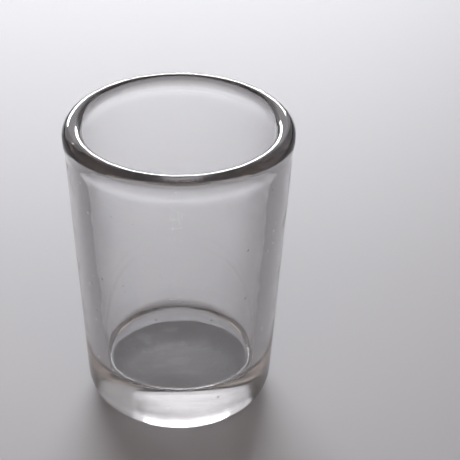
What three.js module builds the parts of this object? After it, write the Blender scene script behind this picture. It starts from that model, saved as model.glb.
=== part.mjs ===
// A small clear drinking glass, pressed in one piece of soda-lime glass.
// It has a rounded lip, a tapering wall, a thick solid base, a rounded heel and a shallow push-up below.
// Millimetres, +Z up, standing on z = 0 with its axis on the Z axis.
import * as THREE from 'three';

// Driving dimensions. Each one is measured on the finished glass or at the sharp corner before it is rounded.
const HEIGHT = 60;
const LIP_DIAMETER = 43.7;
const MOUTH_DIAMETER = 35.9;
const NECK_DIAMETER = 42.9;
const NECK_BELOW_LIP = 3.8;
const FOOT_DIAMETER = 36.4;
const HEEL_HEIGHT = 5;
const HEEL_WIDTH = 3;
const BASE_THICKNESS = 9.4;
const FLOOR_DIAMETER = 29.8;
const FILLET_HEIGHT = 1.5;
const FILLET_WIDTH = 1.5;
const FLOOR_DISH = 0.1;
const BEARING_RING_WIDTH = 2.2;
const PUSH_UP_DEPTH = 0.1;

// How far a curve's handles reach into a corner to round it like a quarter of an ellipse.
const ROUND = 0.5523;

// Fineness of the faceted solid.
const SEGMENTS_ROUND = 80;
const SEGMENTS_PER_CURVE = 6;

// Colour and finish of the clear glass.
const GLASS_COLOUR = 0xd3d5d8;
const GLASS_ROUGHNESS = 0.05;
const GLASS_OPACITY = 0.35;

// Runs the path to a start point and on to an end point, round the corner between them.
function roundCorner(path, start, corner, end) {
  const leave = start.clone().lerp(corner, ROUND);
  const meet = end.clone().lerp(corner, ROUND);
  path.lineTo(start.x, start.y);
  path.bezierCurveTo(leave.x, leave.y, meet.x, meet.y, end.x, end.y);
}

// Where a line from a point touches a circle, on the left of the line as it leaves the point.
function tangentPoint(from, centre, radius) {
  const toCentre = centre.clone().sub(from);
  const reach = Math.sqrt(toCentre.lengthSq() - radius ** 2);
  const turn = Math.asin(radius / toCentre.length());
  return toCentre.setLength(reach).rotateAround(new THREE.Vector2(), turn).add(from);
}

// Half section of the glass, x as radius and y as height, from the axis below round to the axis inside.
function glassSection() {
  const lipRound = (LIP_DIAMETER - MOUTH_DIAMETER) / 4;
  const lipCentre = new THREE.Vector2((LIP_DIAMETER + MOUTH_DIAMETER) / 4, HEIGHT - lipRound);
  const neck = new THREE.Vector2(NECK_DIAMETER / 2, lipCentre.y - NECK_BELOW_LIP);
  const foot = new THREE.Vector2(FOOT_DIAMETER / 2, 0);
  const wallUp = neck.clone().sub(foot).normalize();
  const floorCorner = new THREE.Vector2(FLOOR_DIAMETER / 2, BASE_THICKNESS);
  const floorAim = new THREE.Vector2(0, BASE_THICKNESS - 2 * FLOOR_DISH);
  const mouth = tangentPoint(floorCorner, lipCentre, lipRound);
  const innerUp = mouth.clone().sub(floorCorner).normalize();
  const floorIn = floorAim.clone().sub(floorCorner).normalize();
  const filletStart = floorCorner.clone().addScaledVector(innerUp, FILLET_HEIGHT);
  const filletEnd = floorCorner.clone().addScaledVector(floorIn, FILLET_WIDTH);
  const heelStart = new THREE.Vector2(foot.x - HEEL_WIDTH, 0);
  const heelEnd = foot.clone().addScaledVector(wallUp, HEEL_HEIGHT);
  const ringInner = heelStart.x - BEARING_RING_WIDTH;
  const section = new THREE.Path();

  // Push-up: a shallow hollow that runs out level at the bearing ring.
  section.moveTo(0, PUSH_UP_DEPTH);
  section.bezierCurveTo(ringInner / 2, PUSH_UP_DEPTH, ringInner / 2, 0, ringInner, 0);

  // Bearing ring, heel and outer wall up to the neck.
  roundCorner(section, heelStart, foot, heelEnd);
  section.lineTo(neck.x, neck.y);

  // Swell from the neck to the widest line of the lip, leaving the wall and meeting the lip without a crease.
  const swellPull = NECK_BELOW_LIP / 2;
  const leaveWall = neck.clone().addScaledVector(wallUp, swellPull);
  const widest = lipCentre.x + lipRound;
  section.bezierCurveTo(leaveWall.x, leaveWall.y, widest, lipCentre.y - swellPull, widest, lipCentre.y);

  // Lip, rolled over the top until it is tangent to the inner wall.
  const mouthAngle = mouth.clone().sub(lipCentre).angle();
  section.absarc(lipCentre.x, lipCentre.y, lipRound, 0, mouthAngle, false);

  // Inner wall, floor fillet and the slightly dished floor.
  roundCorner(section, filletStart, floorCorner, filletEnd);
  const dishTurn = filletEnd.clone().lerp(floorAim, 0.5);
  section.quadraticCurveTo(dishTurn.x, dishTurn.y, 0, dishTurn.y);
  return section.getPoints(SEGMENTS_PER_CURVE);
}

const glassMaterial = new THREE.MeshStandardMaterial({
  color: GLASS_COLOUR,
  roughness: GLASS_ROUGHNESS,
  metalness: 0,
  transparent: true,
  opacity: GLASS_OPACITY,
});

const glassGeometry = new THREE.LatheGeometry(glassSection(), SEGMENTS_ROUND);
glassGeometry.rotateX(Math.PI / 2);

const glassBody = new THREE.Mesh(glassGeometry, glassMaterial);
glassBody.name = 'glass_body';

const drinkingGlass = new THREE.Group();
drinkingGlass.name = 'drinking_glass';
drinkingGlass.add(glassBody);

export default drinkingGlass;
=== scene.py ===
"""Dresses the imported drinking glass: one pressed piece of clear glass, shown on a plain stage."""
import math

import bpy
from mathutils import Euler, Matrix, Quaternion, Vector


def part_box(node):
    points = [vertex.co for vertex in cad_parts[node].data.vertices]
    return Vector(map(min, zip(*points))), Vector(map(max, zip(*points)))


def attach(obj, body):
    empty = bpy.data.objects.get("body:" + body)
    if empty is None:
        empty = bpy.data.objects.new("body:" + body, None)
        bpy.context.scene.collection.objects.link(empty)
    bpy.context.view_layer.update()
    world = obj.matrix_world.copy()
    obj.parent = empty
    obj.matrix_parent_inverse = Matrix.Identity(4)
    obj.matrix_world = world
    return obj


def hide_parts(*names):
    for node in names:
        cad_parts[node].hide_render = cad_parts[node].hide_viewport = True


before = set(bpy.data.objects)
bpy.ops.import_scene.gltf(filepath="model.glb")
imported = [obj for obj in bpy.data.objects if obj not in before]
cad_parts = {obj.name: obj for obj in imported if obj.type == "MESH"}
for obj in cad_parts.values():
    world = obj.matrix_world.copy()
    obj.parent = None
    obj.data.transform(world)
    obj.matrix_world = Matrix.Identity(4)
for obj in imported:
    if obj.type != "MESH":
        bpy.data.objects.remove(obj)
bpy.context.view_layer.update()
CAD_NODE = "glass_body"
CAD_LOW, CAD_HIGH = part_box(CAD_NODE)

# How far a curve's handles reach into a corner to round it like a quarter of an ellipse.
ROUND = 0.5523

# Points closer than this are one point, and edges shorter than a sliver go, in metres.
MERGE_DISTANCE = 1e-6
SLIVER = 1e-7

# How much finer structure each pattern in the glass carries.
RIPPLE_DETAIL = 1.0
SCUFF_DETAIL = 3.0
CORD_DETAIL = 2.0

# Sockets of a colour mix by number, because its kinds of mix share their names.
MIX_FACTOR = 0
MIX_FIRST = 6
MIX_SECOND = 7
MIX_RESULT = 2
WHITE = (1, 1, 1, 1)

# The soft lights behind the glass, by the start of their properties' names.
DAYLIGHTS = ("key", "glow", "panel", "side")

# Light turns this often inside thick glass before it is lost.
LIGHT_BOUNCES = 32

# Width of the camera's sensor in millimetres.
SENSOR_WIDTH = 36

bl_info = {
    "name": "Pressed Drinking Glass",
    "version": (1, 0, 0),
    "blender": (4, 5, 0),
    "location": "View3D > Sidebar > Drinking Glass",
    "description": "Models a small pressed drinking glass and sets the stage that shows it",
    "category": "Object",
}


def length(name, description, default):
    """A size in metres."""
    return bpy.props.FloatProperty(
        name=name, description=description, default=default, unit="LENGTH", precision=5
    )


def turn(name, description, degrees):
    """An angle, written in degrees."""
    return bpy.props.FloatProperty(
        name=name, description=description, default=math.radians(degrees), unit="ROTATION"
    )


def amount(name, description, default):
    """A plain number."""
    return bpy.props.FloatProperty(name=name, description=description, default=default, precision=4)


def count(name, description, default):
    """A whole number."""
    return bpy.props.IntProperty(name=name, description=description, default=default, min=1)


def colour(name, description, default):
    """A linear colour."""
    return bpy.props.FloatVectorProperty(
        name=name, description=description, default=default, size=3, subtype="COLOR", min=0, max=1
    )


def place(name, description, default):
    """A point in metres."""
    return bpy.props.FloatVectorProperty(
        name=name, description=description, default=default, size=3, subtype="XYZ", unit="LENGTH"
    )


class GlassSizes(bpy.types.PropertyGroup):
    """Sizes of the pressed glass, at the sharp corner where a corner is rounded."""

    height: length("Height", "From the table to the top of the lip", CAD_HIGH.z - CAD_LOW.z)
    lip_diameter: length("Lip diameter", "Across the lip's widest line", CAD_HIGH.x - CAD_LOW.x)
    mouth_diameter: length("Mouth diameter", "Across the inside of the lip", 0.0359)
    neck_diameter: length("Neck diameter", "Outside, where the wall runs into the lip", 0.0429)
    neck_below_lip: length("Neck below lip", "From the lip's widest line down to the neck", 0.0038)
    foot_diameter: length("Foot diameter", "Outside, where the wall's line meets the table", 0.0364)
    heel_height: length("Heel height", "Where the wall begins to round to the underside", 0.005)
    heel_width: length("Heel width", "How far the rounding reaches in under the wall", 0.003)
    base_thickness: length("Base thickness", "Solid glass under the drink", 0.0094)
    floor_diameter: length("Floor diameter", "Inside, where the wall's line meets the floor", 0.0298)
    fillet_height: length("Fillet height", "Where the inner wall begins to round to the floor", 0.0015)
    fillet_width: length("Fillet width", "How far the rounding reaches over the floor", 0.0015)
    floor_dish: length("Floor dish", "Depth of the shallow hollow in the floor", 0.0001)
    ring_width: length("Bearing ring width", "Flat ring that the glass stands on", 0.0022)
    push_up_depth: length("Push-up depth", "Height of the hollow in the underside", 0.0001)
    steps_round: count("Steps round", "Facets round the axis", 224)
    steps_per_arc: count("Steps per arc", "Facets along each rounded stretch of the section", 18)


class GlassFinish(bpy.types.PropertyGroup):
    """Colour and surface of the glass."""

    body_tint: colour("Body tint", "Colour that thick glass takes", (0.81, 0.80, 0.80))
    body_density: amount("Body density", "How fast the glass takes its tint, per metre", 62.0)
    index: amount("Refractive index", "Of soda-lime glass", 1.52)
    ripple_width: length("Ripple width", "Across one slow wave that the mould leaves", 0.008)
    ripple_depth: length("Ripple depth", "Depth of those waves", 0.00006)
    speck_gap: length("Speck gap", "Usual distance between the specks in the skin", 0.004)
    speck_size: length("Speck size", "Across the largest specks", 0.0006)
    speck_depth: length("Speck depth", "Depth of the largest specks", 0.00009)
    skin_roughness: amount("Skin roughness", "Of the fire-polished surface", 0.01)
    scuff_reach: length("Scuff reach", "How far up from the table the glass is scuffed", 0.0003)
    scuff_grain: length("Scuff grain", "Size of the scuffed patches", 0.0012)
    scuff_roughness: amount("Scuff roughness", "Of the most scuffed patches", 0.36)
    cord_height: length("Cord height", "Height of the faint bands in the glass", 0.003)
    cord_stretch: amount("Cord stretch", "How much longer than high those bands are", 5.0)
    cord_tint: colour("Cord tint", "Faint cast of those bands", (0.985, 0.988, 0.993))


class StageSetup(bpy.types.PropertyGroup):
    """Floor, light and camera."""

    floor_colour: colour("Floor colour", "Pale grey of the table", (0.33, 0.328, 0.346))
    floor_roughness: amount("Floor roughness", "Spread of the floor's sheen", 0.54)
    floor_sheen: amount("Floor sheen", "Strength of the floor's sheen towards the light", 0.54)
    floor_size: length("Floor size", "Side of the square floor", 2.4)
    floor_gap: length("Floor gap", "Air between the floor and the bearing ring", 0.00005)
    room_colour: colour("Room colour", "Dim light from all round", (0.03, 0.025, 0.022))
    day_colour: colour("Daylight colour", "Cool cast of the lights behind", (0.96, 0.963, 1.0))
    key_place: place("Key light place", "Centre of the strong soft light", (-0.095, 1.297, 0.475))
    key_width: length("Key light width", "Across the strong soft light", 1.024)
    key_height: length("Key light height", "Up the strong soft light", 0.18)
    key_level: amount("Key light level", "Brightness of the strong soft light, 1 is white", 44.0)
    glow_place: place("Glow place", "Centre of the mild light above it", (-0.097, 1.326, 0.781))
    glow_width: length("Glow width", "Across the mild light", 1.048)
    glow_height: length("Glow height", "Up the mild light", 0.406)
    glow_level: amount("Glow level", "Brightness of the mild light, 1 is white", 0.7)
    panel_place: place("Panel place", "Centre of the pale panel behind", (-0.259, 1.467, 0.824))
    panel_width: length("Panel width", "Across the pale panel", 2.087)
    panel_height: length("Panel height", "Up the pale panel", 1.229)
    panel_level: amount("Panel level", "Brightness of the pale panel, 1 is white", 1.15)
    side_place: place("Side panel place", "Centre of the panel on the right", (1.004, 1.115, 0.999))
    side_width: length("Side panel width", "Across the panel on the right", 0.917)
    side_height: length("Side panel height", "Up the panel on the right", 1.577)
    side_level: amount("Side panel level", "Brightness of the panel on the right, 1 is white", 0.5)
    fill_place: place("Fill light place", "Centre of the light before the glass", (0.0, -1.3, 1.097))
    fill_width: length("Fill light width", "Across the light before the glass", 7.0)
    fill_height: length("Fill light height", "Up the light before the glass", 1.97)
    fill_level: amount("Fill light level", "Brightness of that light, 1 is white", 1.12)
    fill_colour: colour("Fill light colour", "Warm cast of that light", (1.0, 0.88, 0.78))
    camera_place: place("Camera place", "Where the camera stands", (0.0, -0.2625, 0.2024))
    camera_tilt: turn("Camera tilt", "Below the horizon", 32.32)
    camera_pan: turn("Camera pan", "To the right of straight ahead", 2.15)
    camera_roll: turn("Camera roll", "Turn of the frame about the view", 1.0)
    camera_lens: amount("Lens", "Focal length in millimetres", 125.22)


class Signal:
    """A shader value. Arithmetic on signals adds Math nodes."""

    def __init__(self, tree, socket=None):
        self.tree = tree
        self.socket = socket

    def node(self, kind, sockets=None, settings=None, output=0):
        """Adds a node: its settings first, then the values or links of its sockets."""
        made = self.tree.nodes.new(kind)
        for key, value in (settings or {}).items():
            setattr(made, key, value)
        for key, value in (sockets or {}).items():
            self.plug(made.inputs[key], value)
        return Signal(self.tree, made.outputs[output])

    def plug(self, target, value):
        """Links a signal to a socket, or sets the socket to a plain value."""
        if isinstance(value, Signal):
            self.tree.links.new(value.socket, target)
        else:
            target.default_value = value

    def math(self, operation, first, second):
        return self.node("ShaderNodeMath", {0: first, 1: second}, {"operation": operation})

    def __add__(self, other):
        return self.math("ADD", self, other)

    def __radd__(self, other):
        return self.math("ADD", other, self)

    def __sub__(self, other):
        return self.math("SUBTRACT", self, other)

    def __rsub__(self, other):
        return self.math("SUBTRACT", other, self)

    def __mul__(self, other):
        return self.math("MULTIPLY", self, other)

    def __rmul__(self, other):
        return self.math("MULTIPLY", other, self)


def arc(centre, radius, start, end, steps):
    """Points along an arc in the section plane, without its first point."""
    angles = [start + (end - start) * step / steps for step in range(1, steps + 1)]
    return [centre + radius * Vector((math.cos(angle), math.sin(angle))) for angle in angles]


def bezier(points, steps):
    """Points along a curve with any number of control points, without its first point."""
    order = len(points) - 1
    curve = []
    for step in range(1, steps + 1):
        t = step / steps
        weights = [math.comb(order, i) * t ** i * (1 - t) ** (order - i) for i in range(order + 1)]
        curve.append(sum((w * point for w, point in zip(weights, points)), Vector((0, 0))))
    return curve


def corner_curve(start, corner, end):
    """Control points that round a corner like a quarter of an ellipse."""
    return [start, start.lerp(corner, ROUND), end.lerp(corner, ROUND), end]


def straight(start, end, steps):
    """Points along a straight stretch, without its first point."""
    return [start.lerp(end, step / steps) for step in range(1, steps + 1)]


def glass_section(size):
    """Half section of the glass, from the axis below, up the wall and over the lip to the floor."""
    steps = size.steps_per_arc
    lip_round = (size.lip_diameter - size.mouth_diameter) / 4
    lip = Vector(((size.lip_diameter + size.mouth_diameter) / 4, size.height - lip_round))
    neck = Vector((size.neck_diameter / 2, lip.y - size.neck_below_lip))
    foot = Vector((size.foot_diameter / 2, 0))
    floor_corner = Vector((size.floor_diameter / 2, size.base_thickness))
    floor_aim = Vector((0, size.base_thickness - 2 * size.floor_dish))

    # The inner wall runs straight from the floor's corner until it touches the round of the lip.
    to_lip = lip - floor_corner
    inner_turn = math.atan2(to_lip.y, to_lip.x) + math.asin(lip_round / to_lip.length)
    mouth_angle = inner_turn + math.pi / 2
    mouth = lip + lip_round * Vector((math.cos(mouth_angle), math.sin(mouth_angle)))

    wall_up = (neck - foot).normalized()
    heel_start = foot - Vector((size.heel_width, 0))
    heel_end = foot + wall_up * size.heel_height
    heel = corner_curve(heel_start, foot, heel_end)
    ring_inner = heel_start - Vector((size.ring_width, 0))
    crown = Vector((0, size.push_up_depth))
    hollow = [crown, Vector((ring_inner.x / 2, crown.y)), Vector((ring_inner.x / 2, 0)), ring_inner]
    pull = size.neck_below_lip / 2
    widest = Vector((lip.x + lip_round, lip.y))
    swell = [neck, neck + wall_up * pull, widest - Vector((0, pull)), widest]
    fillet_start = floor_corner + (mouth - floor_corner).normalized() * size.fillet_height
    fillet_end = floor_corner + (floor_aim - floor_corner).normalized() * size.fillet_width
    fillet = corner_curve(fillet_start, floor_corner, fillet_end)
    dish_turn = fillet_end.lerp(floor_aim, 0.5)
    dish = [fillet_end, dish_turn, Vector((0, dish_turn.y))]

    section = [crown] + bezier(hollow, steps)
    section += [heel_start] + bezier(heel, steps)
    section += straight(heel_end, neck, steps) + bezier(swell, steps)
    section += arc(lip, lip_round, 0, mouth_angle, 2 * steps)
    section += straight(mouth, fillet_start, steps) + bezier(fillet, steps)
    section += bezier(dish, steps)
    return section


def start_fresh():
    """Object mode with nothing selected, so that the next operator touches only its own piece."""
    if bpy.context.object and bpy.context.object.mode != "OBJECT":
        bpy.ops.object.mode_set(mode="OBJECT")
    bpy.ops.object.select_all(action="DESELECT")


def turn_section(section, steps):
    """Draws a half section by extruding one point along it, then spins it into a closed body."""
    start_fresh()
    bpy.ops.mesh.primitive_circle_add(vertices=3, radius=section[0].y, location=(0, 0, 0))
    bpy.ops.object.mode_set(mode="EDIT")
    bpy.ops.mesh.select_all(action="SELECT")
    bpy.ops.mesh.merge(type="CENTER")
    bpy.ops.transform.translate(value=(section[0].x, 0, section[0].y))
    for before, after in zip(section, section[1:]):
        step = after - before
        bpy.ops.mesh.extrude_region_move(TRANSFORM_OT_translate={"value": (step.x, 0, step.y)})
    bpy.ops.mesh.select_all(action="SELECT")
    bpy.ops.mesh.spin(steps=steps, angle=2 * math.pi, center=(0, 0, 0), axis=(0, 0, 1))
    bpy.ops.mesh.select_all(action="SELECT")
    bpy.ops.mesh.remove_doubles(threshold=MERGE_DISTANCE)
    bpy.ops.mesh.dissolve_degenerate(threshold=SLIVER)
    bpy.ops.mesh.select_all(action="SELECT")
    bpy.ops.mesh.normals_make_consistent(inside=False)
    bpy.ops.object.mode_set(mode="OBJECT")
    bpy.ops.object.shade_smooth()
    return bpy.context.object


def clear_glass(finish):
    """Clear pressed glass with slow ripples, specks, faint cords and a scuffed underside."""
    material = bpy.data.materials.new("clear_glass")
    material.use_nodes = True
    tree = material.node_tree
    shader = tree.nodes["Principled BSDF"]
    output = tree.nodes["Material Output"]
    shader.inputs["Transmission Weight"].default_value = 1.0
    shader.inputs["IOR"].default_value = finish.index
    body = tree.nodes.new("ShaderNodeVolumeAbsorption")
    body.inputs["Color"].default_value = (*finish.body_tint, 1)
    body.inputs["Density"].default_value = finish.body_density
    tree.links.new(body.outputs[0], output.inputs["Volume"])

    skin = Signal(tree)
    spot = skin.node("ShaderNodeTexCoord", output="Object")

    def cloudy(vector, size, detail):
        """Soft noise of one size."""
        return skin.node("ShaderNodeTexNoise", {"Vector": vector, "Scale": 1 / size, "Detail": detail})

    ripple = cloudy(spot, finish.ripple_width, RIPPLE_DETAIL)
    cells = skin.node("ShaderNodeTexVoronoi", {"Vector": spot, "Scale": 1 / finish.speck_gap})
    specks = skin.math("MAXIMUM", 1 - cells * (2 * finish.speck_gap / finish.speck_size), 0.0)
    relief = ripple * finish.ripple_depth + specks * finish.speck_depth
    bump = skin.node("ShaderNodeBump", {"Height": relief, "Distance": 1.0})
    skin.plug(shader.inputs["Normal"], bump)

    above_table = skin.node("ShaderNodeSeparateXYZ", {"Vector": spot}, output="Z")
    grain = cloudy(spot, finish.scuff_grain, SCUFF_DETAIL)
    scuffs = skin.math("MAXIMUM", 1 - above_table * (1 / finish.scuff_reach), 0.0) * grain
    skin.plug(shader.inputs["Roughness"], finish.skin_roughness + scuffs * finish.scuff_roughness)

    lengthen = (1 / finish.cord_stretch, 1 / finish.cord_stretch, 1.0)
    flat = skin.node("ShaderNodeMapping", {"Vector": spot, "Scale": lengthen})
    cords = cloudy(flat, finish.cord_height, CORD_DETAIL)
    blend = {MIX_FACTOR: cords, MIX_FIRST: WHITE, MIX_SECOND: (*finish.cord_tint, 1)}
    cast = skin.node("ShaderNodeMix", blend, {"data_type": "RGBA"}, MIX_RESULT)
    skin.plug(shader.inputs["Base Color"], cast)
    return material


class GLASS_OT_press_body(bpy.types.Operator):
    """Press the glass in one piece and give it its finish"""

    bl_idname = "drinking_glass.press_body"
    bl_label = "Press Glass Body"

    def execute(self, context):
        size = context.scene.glass_sizes
        body = turn_section(glass_section(size), size.steps_round)
        body.name = "pressed_glass"
        body.data.materials.append(clear_glass(context.scene.glass_finish))
        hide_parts(CAD_NODE)
        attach(body, "root")
        return {"FINISHED"}


class GLASS_OT_set_stage(bpy.types.Operator):
    """Lay the floor, hang the light and stand the camera where the photograph was taken"""

    bl_idname = "drinking_glass.set_stage"
    bl_label = "Set Stage"

    def execute(self, context):
        stage = context.scene.glass_stage
        self.lay_floor(stage)
        self.hang_light(context.scene, stage)
        self.stand_camera(context.scene, stage)
        context.scene.view_settings.view_transform = "Standard"
        context.scene.cycles.max_bounces = LIGHT_BOUNCES
        context.scene.cycles.glossy_bounces = LIGHT_BOUNCES
        context.scene.cycles.transmission_bounces = LIGHT_BOUNCES
        return {"FINISHED"}

    def lay_floor(self, stage):
        start_fresh()
        bpy.ops.mesh.primitive_plane_add(size=stage.floor_size, location=(0, 0, -stage.floor_gap))
        floor = bpy.context.object
        floor.name = "stage_floor"
        material = bpy.data.materials.new("pale_floor")
        material.use_nodes = True
        shader = material.node_tree.nodes["Principled BSDF"]
        shader.inputs["Base Color"].default_value = (*stage.floor_colour, 1)
        shader.inputs["Roughness"].default_value = stage.floor_roughness
        shader.inputs["Specular IOR Level"].default_value = stage.floor_sheen
        floor.data.materials.append(material)

    def hang_light(self, scene, stage):
        for name in DAYLIGHTS:
            self.soft_box(stage, name, stage.day_colour)
        self.soft_box(stage, "fill", stage.fill_colour)
        world = bpy.data.worlds.new("room")
        world.use_nodes = True
        world.node_tree.nodes["Background"].inputs["Color"].default_value = (*stage.room_colour, 1)
        scene.world = world

    def soft_box(self, stage, name, light_colour):
        """An upright soft light that faces the glass and looks as bright as its level."""
        centre = Vector(getattr(stage, name + "_place"))
        width = getattr(stage, name + "_width")
        height = getattr(stage, name + "_height")
        level = getattr(stage, name + "_level")
        inward = Vector((-centre.x, -centre.y, 0))
        start_fresh()
        bpy.ops.object.light_add(type="AREA", location=centre)
        light = bpy.context.object
        light.rotation_euler = inward.to_track_quat("-Z", "Y").to_euler()
        light.name = name + "_light"
        light.data.shape = "RECTANGLE"
        light.data.size = width
        light.data.size_y = height
        light.data.color = light_colour
        light.data.energy = level * math.pi * width * height

    def stand_camera(self, scene, stage):
        start_fresh()
        bpy.ops.object.camera_add(location=stage.camera_place)
        camera = bpy.context.object
        camera.name = "camera"
        camera.data.lens = stage.camera_lens
        camera.data.sensor_width = SENSOR_WIDTH
        aim = Euler((math.pi / 2 - stage.camera_tilt, 0, -stage.camera_pan)).to_quaternion()
        roll = Quaternion((0, 0, 1), stage.camera_roll)
        camera.rotation_euler = (aim @ roll).to_euler()
        scene.camera = camera


class GLASS_PT_panel(bpy.types.Panel):
    """Sizes, finish and stage of the drinking glass"""

    bl_idname = "GLASS_PT_panel"
    bl_label = "Drinking Glass"
    bl_space_type = "VIEW_3D"
    bl_region_type = "UI"
    bl_category = "Drinking Glass"

    def draw(self, context):
        scene = context.scene
        for group in (scene.glass_sizes, scene.glass_finish, scene.glass_stage):
            box = self.layout.box()
            for name in group.__annotations__:
                box.prop(group, name)
        self.layout.operator(GLASS_OT_press_body.bl_idname)
        self.layout.operator(GLASS_OT_set_stage.bl_idname)


CLASSES = (
    GlassSizes,
    GlassFinish,
    StageSetup,
    GLASS_OT_press_body,
    GLASS_OT_set_stage,
    GLASS_PT_panel,
)


def register():
    for item in CLASSES:
        bpy.utils.register_class(item)
    bpy.types.Scene.glass_sizes = bpy.props.PointerProperty(type=GlassSizes)
    bpy.types.Scene.glass_finish = bpy.props.PointerProperty(type=GlassFinish)
    bpy.types.Scene.glass_stage = bpy.props.PointerProperty(type=StageSetup)


def unregister():
    del bpy.types.Scene.glass_stage
    del bpy.types.Scene.glass_finish
    del bpy.types.Scene.glass_sizes
    for item in reversed(CLASSES):
        bpy.utils.unregister_class(item)


def main():
    register()
    bpy.ops.drinking_glass.press_body()
    bpy.ops.drinking_glass.set_stage()


if __name__ == "__main__":
    main()
